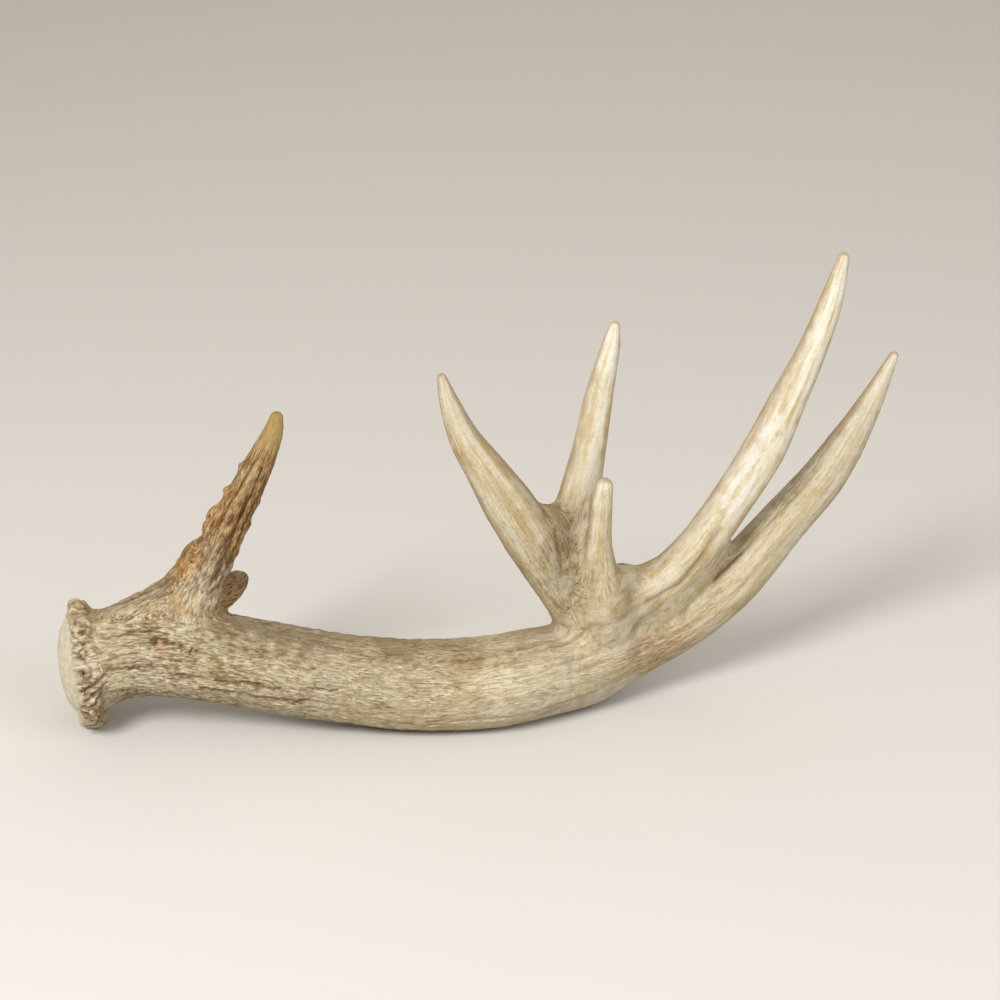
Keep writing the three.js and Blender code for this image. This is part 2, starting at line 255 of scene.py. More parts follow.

# Tones. Rows run from root to tip: mm along the branch, then hundredths of cream, stain and grey, where
# grey is greyish bone with painted shade in hollows and where one branch shades another.
TONES = {
    "beam": [
        (0, 0, 15, 0), (60, 10, 10, 0), (120, 30, 0, 0), (150, 45, 0, 0), (172, 60, 0, 0),
        (200, 40, 5, 0), (215, 35, 30, 0), (235, 30, 60, 0), (270, 45, 30, 0), (300, 65, 15, 0),
        (350, 65, 25, 0), (400, 95, 0, 0),
    ],
    "burr": [(-6, 50, 0, 0), (12, 30, 10, 0)],
    "brow_tine": [(0, 20, 20, 0), (30, 10, 50, 0), (45, 0, 75, 0), (90, 0, 75, 0), (112, 0, 40, 0)],
    "brow_web": [(0, 10, 20, 0), (25, 10, 40, 0), (50, 0, 70, 0)],
    "brow_kicker": [(0, 0, 60, 50), (12, 0, 95, 0)],
    "second_tine": [(0, 40, 0, 30), (60, 45, 0, 15), (90, 60, 0, 0), (150, 85, 0, 0)],
    "palm": [(0, 50, 0, 35), (50, 40, 0, 50)],
    "second_tine_rear": [(0, 50, 0, 30), (55, 70, 0, 20), (90, 95, 0, 0), (140, 100, 0, 0)],
    "short_tine": [(0, 35, 15, 0), (30, 45, 0, 0), (60, 85, 0, 0), (80, 100, 0, 0)],
    "saddle": [(0, 50, 0, 0)],
    "third_tine": [(0, 50, 0, 5), (60, 70, 0, 0), (90, 95, 0, 0), (200, 100, 0, 0)],
    "fork_web": [(0, 50, 0, 10)],
}
# Patches of each tone: strength, radius in mm, then the place in mm.
PATCHES = {
    # Grey patches: greyish bone with painted shade in the hollow between the second tine's branches, at
    # the forks' feet and along the beam's top edge.
    "grey_and_shade": [
        (0.8, 12, (32, -9, 89)), (0.8, 13, (33, -15, 77)), (0.8, 12, (35, -16, 65)),
        (0.7, 10, (38, -15, 53)), (0.5, 9, (70, -5, 42)), (0.4, 9, (52, -16, 41)),
        (0.6, 10, (-20, -27, 36)), (0.7, 10, (-3, -25, 36.5)), (0.8, 10, (14, -20, 37)),
    ],
    "stain": [
        (0.35, 7, (44.5, -6, 91)), (0.4, 8, (-5, -13, 118)), (0.55, 5, (-125.8, -32.8, 42.9)),
        (0.5, 7, (-129, -24, 50)), (0.4, 7, (-146, -35, 40)), (0.4, 6, (154, 33, 92)),
    ],
    "orange": [
        (0.8, 4.5, (-103.5, -21, 93)), (0.45, 5, (-117, -21, 73)), (0.6, 3.5, (-96, -20, 103)),
        (0.45, 5, (-108, -22, 82)),
    ],
    # Pale bone, and painted light: the patches on the beam tip's flange lift the shadow that the third
    # tine casts there, and those right of the brow tine's root lift the shade on that flank.
    "pale": [
        (0.45, 32, (20, -36, 32)), (1, 11, (-104.5, -25.5, 66)), (0.8, 9, (-112, -29.5, 61.5)),
        (0.4, 8, (-105, -24, 80)), (0.4, 5, (-90, -21, 111)), (0.5, 5, (-115, -31, 52)),
        (1, 17, (-155, -40, 38)), (0.5, 16, (-82, -36, 16)), (0.9, 8, (106, 22, 57)),
        (1, 9, (120, 27, 71)), (1, 9, (128, 29, 81)), (0.8, 9, (136, 31, 92)), (0.6, 9, (-106, -33, 69)),
        (0.45, 12, (-98, -38, 48)), (0.45, 20, (-47, -38, 37)), (0.35, 18, (-20, -39, 28)),
    ],
}
GOLD_FROM = 97  # mm along the brow tine where its tip turns golden
LIT_AND_RUBBED_SIDE = (-0.02, -0.98, -0.03)  # the way that the lit, rubbed side faces; bone turned away from it gets painted shade, partly darker unrubbed bone
CHALK_EDGE = 0.2  # mm along the burr's axis, behind which the seal is bare chalky bone

# Colours as seen on a screen, 0 to 255. A ramp's colours have their places from 0 to 1 first,
# and a pair is the two ends of one tone.
RAMPS = {
    "beam": [
        (0, (106, 82, 42)), (0.3, (150, 132, 94)), (0.65, (184, 170, 138)), (1, (220, 211, 184)),
    ],
    "tine": [(0, (190, 173, 134)), (0.4, (210, 201, 176)), (1, (226, 224, 215))],
    "stained": [(0, (88, 58, 26)), (0.5, (148, 112, 66)), (1, (196, 166, 118))],
}
PAIRS = {
    # Painted shade for skin turned away from the lit side, with some darker unrubbed bone.
    "shaded_and_unrubbed": [(108, 88, 56), (156, 126, 80)],
    "tan": [(140, 110, 66), (190, 164, 116)],
    # Greyish bone darkened as painted shade.
    "grey_and_shade": [(84, 62, 28), (156, 141, 108)],
    "gold": [(156, 128, 74), (208, 178, 108)],
    "orange": [(120, 64, 22), (194, 136, 82)],
    # Pale bone, also used as painted light where shadow falls.
    "pale": [(146, 128, 94), (212, 202, 174)],
    "rubbed": [(216, 205, 176), (196, 158, 104)],
    # Dirt with painted shade, for furrows, pits, pearl gaps and creases.
    "dirt_and_shade": [(62, 34, 6), (116, 76, 32)],
    "chalk": [(148, 132, 100), (232, 226, 208)],
}
HALFWAY = (176, 155, 108)
STREAK_LIGHT = (214, 208, 188)
STREAK_DARK = (152, 128, 86)
CLOUDED = (196, 192, 174)
CRACKS = (100, 70, 32)
DOTS = (100, 74, 42)
BUMP = 1  # mm

# Where each set of random draws starts. A branch's own bark starts at 100 times its number.
SEED_RAGGED = 690
SEED_MARKS = 700
SEED_CHALK = 901
SEED_PATCHES = 905
SEED_LIT_AND_RUBBED = 950

# Stage, in metres, watts and the renderer's own colours. Lights: name, place, size, power, colour.
LIGHTS = [
    ("key", (-0.62, -1, 1.1), 0.6, 22.5, (1, 0.98, 0.97)),
    ("back", (0.3, 1.4, 1.3), 1.2, 3, (1, 0.96, 0.9)),
    ("fill", (0.9, -0.7, 0.8), 1, 6, (0.92, 0.96, 1)),
]
AIM = (0, 0, 0.05)
ROOM = (1, 0.93, 0.82)
ROOM_STRENGTH = 0.54
FLOOR = (0.62, 0.6, 0.57)
FLOOR_REACH = 3
CAMERA_PLACE = (0.009, -0.8694, 0.4787)
CAMERA_TILT = 66  # degrees up from straight down


# --- Centre lines ---
def catmull_rom(stations, steps=10):
    """Points and radii on a centripetal Catmull-Rom curve through the stations."""
    rows = np.array(stations, float)
    points = np.vstack([2 * rows[0] - rows[1], rows, 2 * rows[-1] - rows[-2]])
    found = []
    for i in range(len(rows) - 1):
        corners = points[i : i + 4, :3]
        p0, p1, p2, p3 = corners
        d0, d1, d2 = (max(np.linalg.norm(step), 1e-6) ** 0.5 for step in np.diff(corners, axis=0))
        m1 = ((p1 - p0) / d0 - (p2 - p0) / (d0 + d1) + (p2 - p1) / d1) * d1
        m2 = ((p2 - p1) / d1 - (p3 - p1) / (d1 + d2) + (p3 - p2) / d2) * d1
        r1, r2 = points[i + 1 : i + 3, 3]
        last = i == len(rows) - 2
        for t in np.linspace(0, 1, steps + 1)[: steps + last]:
            at = (
                (2 * t**3 - 3 * t**2 + 1) * p1
                + (t**3 - 2 * t**2 + t) * m1
                + (3 * t**2 - 2 * t**3) * p2
                + (t**3 - t**2) * m2
            )
            found.append((*at, r1 + (r2 - r1) * t))
    return np.array(found)


def centre_line(stations, step=STEP):
    """A branch as evenly spaced points, radii, frames and lengths along it."""
    fine = catmull_rom(stations)
    far = np.concatenate([[0], np.cumsum(np.linalg.norm(np.diff(fine[:, :3], axis=0), axis=1))])
    count = max(4, math.ceil(far[-1] / step) + 1)
    along = np.linspace(0, far[-1], count)
    points = np.stack([np.interp(along, far, fine[:, k]) for k in range(4)], axis=1)
    tangents = np.gradient(points[:, :3], axis=0)
    tangents /= np.linalg.norm(tangents, axis=1, keepdims=True)
    side = np.array([0.0, 1.0, 0.0])
    sides = []
    for tangent in tangents:
        side = side - side @ tangent * tangent
        side /= np.linalg.norm(side)
        sides.append(side)
    return {
        "points": points[:, :3],
        "radii": points[:, 3],
        "along": along,
        "sides": np.array(sides),
        "across": np.cross(tangents, sides),
    }


def nearest_on(line, places):
    """Signed distance to a branch, its slope, and where each place is in the branch's own frame.

    The last holds length along, offset to the side, offset across and the branch's radius.
    Places beyond REACH of the branch keep the distance FAR.
    """
    points, radii, along = line["points"], line["radii"], line["along"]
    widest = radii.max() + REACH
    low, high = points.min(axis=0) - widest, points.max(axis=0) + widest
    close = np.flatnonzero(((places > low) & (places < high)).all(axis=1))
    here = places[close]
    best = np.full(len(close), FAR)
    slope = np.zeros((len(close), 3))
    found = np.zeros((len(close), 4))
    for k in range(len(points) - 1):
        margin = max(radii[k], radii[k + 1]) + REACH
        low = np.minimum(points[k], points[k + 1]) - margin
        high = np.maximum(points[k], points[k + 1]) + margin
        near = np.flatnonzero((here[:, 0] > low[0]) & (here[:, 0] < high[0]))
        near = near[((here[near, 1:] > low[1:]) & (here[near, 1:] < high[1:])).all(axis=1)]
        step = points[k + 1] - points[k]
        share = np.clip((here[near] - points[k]) @ step / (step @ step), 0, 1)
        away = here[near] - points[k] - share[:, None] * step
        gap = np.linalg.norm(away, axis=1)
        radius = radii[k] + share * (radii[k + 1] - radii[k])
        better = gap - radius < best[near]
        near, share, away = near[better], share[better], away[better]
        gap, radius = np.maximum(gap[better], 1e-6), radius[better]
        mix = share[:, None]
        side = line["sides"][k] * (1 - mix) + line["sides"][k + 1] * mix
        across = line["across"][k] * (1 - mix) + line["across"][k + 1] * mix
        best[near] = gap - radius
        slope[near] = away / gap[:, None]
        found[near, 0] = along[k] + share * (along[k + 1] - along[k])
        found[near, 1] = np.einsum("ij,ij->i", away, side)
        found[near, 2] = np.einsum("ij,ij->i", away, across)
        found[near, 3] = radius
    whole = []
    for values, rest in ((best, FAR), (slope, 0.0), (found, 0.0)):
        whole.append(np.full((len(places), *values.shape[1:]), rest))
        whole[-1][close] = values
    return whole


# --- Burr ---
def unit(vector):
    return np.divide(vector, np.linalg.norm(vector))


def burr_frame():
    """The burr's axis, the way down across it, and the way across both."""
    along = unit(BURR_AXIS)
    down = np.array([0, 0, -1.0])
    down = unit(down - down @ along * along)
    return along, down, np.cross(down, along)


def burr_coordinates(places):
    """Distance from the burr's axis, distance along it, and degrees round from the bottom."""
    along, down, across = burr_frame()
    away = places - BURR_CENTRE
    x, z = away @ down, away @ across
    return np.hypot(x, z), away @ along, np.degrees(np.arctan2(z, x))


def knob_height(angle):
    """How far the burr's knobs stand out at angles in degrees."""
    height = np.zeros(len(angle))
    for middle, top in BURR_KNOBS:
        apart = np.abs((angle - middle + 540) % 360 - 180) / KNOB_HALF_WIDTH
        height = np.maximum(height, np.where(apart < 1, top * np.cos(apart * math.pi / 2), 0))
    return height


def outline_distance(x, y, outline):
    """Signed distance to a closed outline that starts and ends on the axis, negative inside it."""
    least = np.full(len(x), FAR)
    inside = np.zeros(len(x), bool)
    for (x0, y0), (x1, y1) in zip(outline, outline[1:] + outline[:1]):
        dx, dy = x1 - x0, y1 - y0
        if dy:
            inside ^= ((y0 > y) != (y1 > y)) & (x < x0 + (y - y0) * dx / dy)
        if x0 or x1:
            t = np.clip(((x - x0) * dx + (y - y0) * dy) / (dx * dx + dy * dy), 0, 1)
            least = np.minimum(least, np.hypot(x - x0 - t * dx, y - y0 - t * dy))
    return np.where(inside, -least, least)


def ring_distance(places):
    """Signed distance to the burr's outline, grown by its knobs."""
    radius, along, angle = burr_coordinates(places)
    ring = np.clip((radius - BURR_RING_FROM) / KNOB_FADE, 0, 1)
    return outline_distance(radius - ring * knob_height(angle), along, BURR_OUTLINE)


def burr_distance(places):
    """Signed distance to the burr and seal, and its slope."""
    best = np.full(len(places), FAR)
    slope = np.zeros((len(places), 3))
    away = np.linalg.norm(places - BURR_CENTRE, axis=1)
    near = np.flatnonzero(away < BURR_REACH + REACH)
    here = ring_distance(places[near])
    best[near] = here
    for axis in range(3):
        moved = places[near].copy()
        moved[:, axis] += SLOPE_STEP
        slope[near, axis] = (ring_distance(moved) - here) / SLOPE_STEP
    return best, slope


# --- The whole surface ---
def blend_in(a, a_slope, b, b_slope, reach):
    """The union of two distances, with a fillet of about reach where they meet."""
    h = np.maximum(reach - np.abs(a - b), 0) / reach
    nearer = (a < b)[:, None]
    share = h[:, None] / 2
    slope = np.where(nearer, a_slope, b_slope) * (1 - share)
    slope = slope + np.where(nearer, b_slope, a_slope) * share
    return np.minimum(a, b) - h * h * reach / 4, slope


def beam_distance(line, places):
    """The beam, which ends inside the burr instead of in a round cap."""
    gap, slope, found = nearest_on(line, places)
    along, _, _ = burr_frame()
    short = BEAM_STARTS - (places - BURR_CENTRE) @ along
    cut = short > gap
    gap = np.where(cut, short, gap)
    slope[cut] = -along
    return gap, slope, found


def grown_distance(places, lines):
    """Signed distance to the whole antler, and its slope."""
    whole, slope, _ = beam_distance(lines["beam"], places)
    for name, (reach, _, _) in JOINS.items():
        if name == "beam":
            continue
        if name == "burr":
            part, part_slope = burr_distance(places)
        else:
            part, part_slope, _ = nearest_on(lines[name], places)
        whole, slope = blend_in(whole, slope, part, part_slope, reach)
    return whole, slope


def settle(places, lines, rounds):
    """Moves points onto the grown surface."""
    for _ in range(rounds):
        here, slope = grown_distance(places, lines)
        steep = np.maximum(np.einsum("ij,ij->i", slope, slope), 0.3)
        places = places - slope * np.clip(here / steep, -2, 2)[:, None]
    return places


def closed_tube(rings):
    """Points and faces of a closed tube through rings of equally many points."""
    sides = len(rings[0])
    points = np.vstack(rings)
    faces = [
        (a + i, a + (i + 1) % sides, a + sides + (i + 1) % sides, a + sides + i)
        for a in range(0, len(points) - sides, sides)
        for i in range(sides)
    ]
    faces.append(tuple(reversed(range(sides))))
    faces.append(tuple(range(len(points) - sides, len(points))))
    return points, faces


def circle(side, across, sides):
    """The angles and the unit circle of a ring."""
    angles = np.arange(sides) * 2 * math.pi / sides
    return angles, np.cos(angles)[:, None] * side + np.sin(angles)[:, None] * across


def branch_tube(line, sides=16):
    """A tube round a centre line, with a round tip."""
    rings = []
    for tip, radius, side, across in zip(*(line[k] for k in ("points", "radii", "sides", "across"))):
        rings.append(tip + radius * circle(side, across, sides)[1])
    forward = np.cross(side, across)
    flat = rings[-1] - tip
    for turn in TIP_TURNS:
        rings.append(tip + flat * math.cos(turn) + forward * radius * math.sin(turn))
    return closed_tube(rings)


def burr_tube(sides=64):
    """The burr and seal, turned from their outline, with the knobs on the ring."""
    along, down, across = burr_frame()
    angles, ring = circle(down, across, sides)
    rings = []
    for radius, far in BURR_OUTLINE:
        reach = np.full(sides, max(radius, 0.5))
        if radius > BURR_RING_FROM:
            reach = reach + knob_height(np.degrees(angles))
        rings.append(BURR_CENTRE + along * far + ring * reach[:, None])
    return closed_tube(rings)


def linked(name, data):
    made = bpy.data.objects.new(name, data)
    bpy.context.scene.collection.objects.link(made)
    return made


def mesh_object(name, points, faces):
    mesh = bpy.data.meshes.new(name)
    mesh.from_pydata(points.tolist(), [], faces)
    mesh.update()
    return linked(name, mesh)


def remeshed(points, faces, voxel):
    """Points and four-sided faces of one closed skin round everything given."""
    rough = mesh_object("rough", points, faces)
    modifier = rough.modifiers.new("skin", "REMESH")
    modifier.mode = "VOXEL"
    modifier.voxel_size = voxel
    now = bpy.context.evaluated_depsgraph_get()
    mesh = bpy.data.meshes.new_from_object(rough.evaluated_get(now), depsgraph=now)
    found = np.empty(len(mesh.vertices) * 3)
    mesh.vertices.foreach_get("co", found)
    corners = np.empty(len(mesh.loops), int)
    mesh.loops.foreach_get("vertex_index", corners)
    bpy.data.objects.remove(rough)
    bpy.data.meshes.remove(mesh)
    return found.reshape(-1, 3), corners.reshape(-1, 4)


def base_surface(lines):
    """The whole antler's skin before its relief: points and four-sided faces."""
    all_points, all_faces, start = [], [], 0
    for points, faces in [branch_tube(line) for line in lines.values()] + [burr_tube()]:
        all_points.append(points)
        all_faces += [tuple(i + start for i in face) for face in faces]
        start += len(points)
    points, faces = remeshed(np.vstack(all_points), all_faces, ROUGH_VOXEL)
    points = settle(points, lines, 3)
    points, faces = remeshed(points, faces.tolist(), VOXEL)
    return settle(points, lines, 2), faces


# --- Where each point lies on each branch ---
def distances(lines, points):
    """For each branch: distance to it, and length along in mm and degrees round where it is met."""
    found = {}
    for name in RELIEF:
        if name == "burr":
            gap, _ = burr_distance(points)
            _, along, angle = burr_coordinates(points)
        else:
            measure = beam_distance if name == "beam" else nearest_on
            gap, _, at = measure(lines[name], points)
            along, angle = at[:, 0], np.degrees(np.arctan2(at[:, 2], at[:, 1]))
        if name == "beam":  # the heel only thickens it
            heel, _, _ = nearest_on(lines["heel"], points)
            gap = np.minimum(gap, np.where(gap < REACH, heel, FAR))
        found[name] = gap, along, angle % 360
    return found


def shared_out(met):
    """For each branch: which points it touches, its share in each, and where they lie on it."""
    gaps = {
        name: gap + ROOT_PULL * np.maximum(JOINS[name][1] - along, 0)
        for name, (gap, along, _) in met.items()
    }
    least = np.min(list(gaps.values()), axis=0)
    shares = {name: np.exp((least - gap) / JOIN_SOFTNESS) for name, gap in gaps.items()}
    whole = np.sum(list(shares.values()), axis=0)
    found = {}
    for name, share in shares.items():
        share = share / whole
        touched = np.flatnonzero(share > 0.01)
        _, along, angle = met[name]
        found[name] = touched, share[touched], along[touched], angle[touched]
    return found


# --- Noise ---
def noise(places, seed):
    """Smooth gradient noise at 3-D places, about -1 to 1, with features about 1 apart."""
    random = np.random.default_rng(seed)
    slopes = random.normal(size=(256, 3))
    slopes /= np.linalg.norm(slopes, axis=1, keepdims=True)
    shuffle = random.permutation(256)
    cell = np.floor(places).astype(int)
    part = places - cell
    ease = part**3 * (part * (part * 6 - 15) + 10)
    total = np.zeros(len(places))
    for corner in np.ndindex(2, 2, 2):
        at = (cell + corner) & 255
        key = shuffle[(at[:, 0] + shuffle[(at[:, 1] + shuffle[at[:, 2]]) & 255]) & 255]
        lean = np.einsum("ij,ij->i", slopes[key], part - corner)
        total += np.where(corner, ease, 1 - ease).prod(axis=1) * lean
    return total * 1.7


def smooth_step(low, high, values):
    """0 at low and 1 at high, with a soft start and end."""
    t = np.clip((values - low) / (high - low), 0, 1)
    return t * t * (3 - 2 * t)


# --- Relief ---
def grain_places(name, along, angle):
    """Places on a branch's skin, in mm, in which the grain runs along the third axis."""
    turn = np.radians(angle)
    radius = JOINS[name][2]
    return np.stack([radius * np.cos(turn), radius * np.sin(turn), along], axis=1)


def stretched(grain, width, length):
    """Grain places scaled so that noise on them is width across the grain and length along it."""
    return grain / (width, width, length)


def furrow_lines(grain, seed, width, length, thin):
    """0 to 1: thin wavy furrows along the grain, about width apart, broken into dashes."""
    here = noise(stretched(grain, width, length), seed)
    beside = noise(stretched(grain + (0.3, 0.3, 0), width, length), seed)
    steep = np.maximum(np.abs(beside - here) / 0.42, 0.5 / width)
    line = np.exp(-((here / steep / thin) ** 2))
    return line * smooth_step(-0.15, 0.25, noise(stretched(grain, width * 1.4, length * 0.35), seed + 1))


def read_rows(table, name, along):
    """The columns of a branch's rows at lengths along it."""
    rows = np.array(table[name])
    return [np.interp(along, rows[:, 0], column / 100) for column in rows.T[1:]]


def bark(name, grain, points, seed):
    """Height of a branch's own relief in mm, and how deep each point lies in a furrow."""
    flutes, furrows, streaks, grit, pearls = read_rows(RELIEF, name, grain[:, 2])
    wander = noise(stretched(grain, 14, 30), seed) * 2.2
    bent = grain + wander[:, None] * (1, 1, 0)
    bold = furrow_lines(bent, seed + 2, width=3.6, length=30, thin=0.5)
    faint = furrow_lines(bent, seed + 4, width=2.0, length=12, thin=0.4)
    height = flutes * noise(stretched(bent, 7, 70), seed + 6)
    height -= furrows * (bold + 0.45 * faint)
    height += streaks * noise(stretched(bent, 1.8, 13), seed + 7)
    height += grit * noise(stretched(grain, 1.9, 4.2), seed + 8)
    large, small = noise(points / 4.2, seed + 9), noise(points / 2.2, seed + 10)
    height += pearls * (1.6 * np.maximum(large, 0) + 0.8 * np.maximum(small, 0) - 0.35)
    # The pearls' gaps and the furrows get dirt with painted shade.
    gaps = np.minimum(pearls, 1.3) * np.exp(-((large / 0.12) ** 2)) * 0.65
    return height, np.minimum((0.9 * bold + 0.5 * faint) * furrows * 0.8 + gaps, 0.8)


def path_distance(places, path):
    """Distance from places to a line through the path's points, or to its only point."""
    path = np.array(path, float)
    least = np.linalg.norm(places - path[0], axis=1)
    for start, end in zip(path, path[1:]):
        step = end - start
        share = np.clip((places - start) @ step / (step @ step), 0, 1)
        away = places - start - share[:, None] * step
        least = np.minimum(least, np.linalg.norm(away, axis=1))
    return least


def marks(name, along, angle):
    """Height in mm of a branch's own marks, and how deep points lie in them."""
    height, dirt_and_shade = np.zeros((2, len(along)))
    radius = JOINS[name][2]
    places = np.stack([along, np.radians(angle) * radius, 0 * along], axis=1) / RAGGED_WIDTH
    along = along + RAGGED * noise(places, SEED_RAGGED)
    angle = angle + np.degrees(RAGGED / radius) * noise(places, SEED_RAGGED + 1)
    every = [(branch, kind, *mark) for branch, kind, group in MARKS for mark in group]
    for seed, (branch, kind, width, tall, *path) in enumerate(every, start=SEED_MARKS):
        if branch != name:
            continue
        start = path[0][1]
        turn = np.radians((angle - start + 180) % 360 - 180)
        line = [(mm, math.radians(degrees - start) * radius) for mm, degrees in path]
        far = path_distance(np.stack([along, turn * radius], axis=1), line) / width
        if kind in ("nub", "ridge"):
            height += tall * np.exp(-far * far * 0.9)
            continue
        deep = np.exp(-far * far)
        if kind == "stitches":
            steps = np.stack([along / 1.6, angle / 40, 0 * along], axis=1)
            deep *= smooth_step(0, 0.4, noise(steps, seed))
        height -= tall * deep
        dirt_and_shade = np.maximum(dirt_and_shade, deep * DIRT_AND_SHADE_IN[kind])
    return height, dirt_and_shade


def creases(points):
    """Height in mm of the creases between branches, and how dark points are painted in them, as dirt with
    painted shade.
    """
    height, dirt_and_shade = np.zeros((2, len(points)))
    for width, tall, dark, path in CREASES:
        deep = np.exp(-((path_distance(points, path) / width) ** 2))
        height -= tall * deep
        dirt_and_shade = np.maximum(dirt_and_shade, dark * deep**2)
    return height, dirt_and_shade


def relief(found, points):
    """Height of the whole relief in mm, and how deep each point lies in a furrow."""
    height, dirt_and_shade = creases(points)
    for seed, (name, (touched, share, along, angle)) in enumerate(found.items()):
        grain = grain_places(name, along, angle)
        own_height, own_dirt_and_shade = bark(name, grain, points[touched], 100 * seed)
        mark_height, mark_dirt_and_shade = marks(name, along, angle)
        height[touched] += share * (own_height + mark_height)
        dirt_and_shade[touched] += share * np.maximum(own_dirt_and_shade, mark_dirt_and_shade)
    return height, dirt_and_shade


# --- Tones ---
def tones(found, points):
    """What the material reads at each point, 0 to 1: cream, stain, grey bone with painted shade, pale
    bone with painted light, and so on.
    """
    kinds = ("cream", "stain", "grey_and_shade", "gold", "chalk", "pale", "orange", "rough")
    tone = {name: np.zeros(len(points)) for name in kinds}
    for name, (touched, share, along, _) in found.items():
        for kind, value in zip(("cream", "stain", "grey_and_shade"), read_rows(TONES, name, along)):
            tone[kind][touched] += share * value
        grit = read_rows(RELIEF, name, along)[3]
        tone["rough"][touched] += share * np.minimum(grit * 4, 1)
    touched, share, along, _ = found["brow_tine"]
    tone["gold"][touched] = share * smooth_step(GOLD_FROM - 8, GOLD_FROM + 12, along)
    touched, share, along, _ = found["burr"]
    ragged = noise(points[touched] / 2.5, SEED_CHALK) * 0.8
    tone["chalk"][touched] = share * smooth_step(1, -1, along - CHALK_EDGE + ragged)
    for kind, patches in PATCHES.items():
        for strength, radius, place in patches:
            far = np.linalg.norm(points - place, axis=1) / radius
            ragged = noise(points / (radius * 0.5), SEED_PATCHES) * 0.25
            tone[kind] = np.maximum(tone[kind], strength * smooth_step(1.2, 0.4, far + ragged))
    return tone


def grain_field(found, count):
    """Grain places of each point's nearest branch, and how far the point is from a join, 0 to 1."""
    most, second = np.zeros((2, count))
    grain = np.zeros((count, 3))
    for number, (name, (touched, share, along, angle)) in enumerate(found.items()):
        here = grain_places(name, along, angle) + (0, 0, 500 * number)
        first = share > most[touched]
        second[touched] = np.maximum(second[touched], np.where(first, most[touched], share))
        grain[touched[first]] = here[first]
        most[touched[first]] = share[first]
    return grain, smooth_step(0, 0.6, most - second)


# --- Pieces ---
def face_owners(met, faces, tip_along):
    """The piece that each face belongs to, as a number in SLOT_OF's order."""
    names = list(SLOT_OF)
    least = np.full((len(names), len(met["beam"][0])), FAR)
    for name, (gap, along, _) in met.items():
        piece = np.full(len(gap), names.index(PIECE_OF.get(name, name)))
        if name == "beam":
            piece[along > tip_along] = names.index("beam_tip")
        np.minimum.at(least, (piece, np.arange(len(gap))), gap)
    return least[:, faces].mean(axis=2).argmin(axis=0)


def open_loops(faces):
    """The rims of an open skin, as rows of points that run against its faces' own order."""
    starts = faces.ravel()
    ends = np.roll(faces, -1, axis=1).ravel()
    edges = set(zip(starts.tolist(), ends.tolist()))
    after = {}
    for a, b in edges:
        if (b, a) not in edges:
            after.setdefault(b, []).append(a)
    loops = []
    while after:
        loop = [next(iter(after))]
        while len(loop) == 1 or loop[-1] != loop[0]:
            at = loop[-1]
            loop.append(after[at].pop())
            if not after[at]:
                del after[at]
        loops.append(loop[:-1])
    return loops


def add_piece(name, points, normals, values, grain, faces):
    """One closed mesh: its share of the skin, closed inside the bone where it meets the others."""
    used, inside = np.unique(faces, return_inverse=True)
    skin = inside.reshape(faces.shape)
    corners = [tuple(face) for face in skin.tolist()]
    own_points, own_normals, own_grain = points[used], normals[used], grain[used]
    own_values = {kind: value[used] for kind, value in values.items()}
    for loop in open_loops(skin):
        first, count = len(own_points), len(loop)
        for k in range(count):
            after = (k + 1) % count
            corners.append((loop[k], loop[after], first + after, first + k))
            corners.append((first + k, first + after, first + count))
        below = own_points[loop] - own_normals[loop] * RIM_DEPTH
        own_points = np.vstack([own_points, below, below.mean(axis=0)])
        again = [*loop, loop[0]]
        own_normals = np.vstack([own_normals, own_normals[again]])
        own_grain = np.vstack([own_grain, own_grain[again]])
        own_values = {kind: np.append(value, value[again]) for kind, value in own_values.items()}
    piece = mesh_object(name, own_points * MM, corners)
    mesh = piece.data
    for kind, value in own_values.items():
        mesh.attributes.new(kind, "FLOAT", "POINT").data.foreach_set("value", value)
    spread = mesh.attributes.new("grain", "FLOAT_VECTOR", "POINT")
    spread.data.foreach_set("vector", own_grain.ravel())
    mesh.polygons.foreach_set("use_smooth", np.ones(len(mesh.polygons), bool))
    mesh.normals_split_custom_set_from_vertices(own_normals.tolist())
    return piece


def smooth_normals(points, faces):
    """A normal at each point of the whole skin, so that pieces meet without a line."""
    a, b, c, d = (points[faces[:, corner]] for corner in range(4))
    flat = np.cross(c - a, d - b)
    total = np.zeros(points.shape)
    for corner in range(4):
        for axis in range(3):
            total[:, axis] += np.bincount(faces[:, corner], flat[:, axis], len(points))
    return total / np.maximum(np.linalg.norm(total, axis=1, keepdims=True), 1e-9)


# --- Bone ---
def colour(red, green, blue):
    """A colour as seen on a screen, 0 to 255, in the renderer's own linear numbers."""
    parts = [c / 255 for c in (red, green, blue)]
    return (*[c / 12.92 if c <= 0.04045 else ((c + 0.055) / 1.055) ** 2.4 for c in parts], 1)


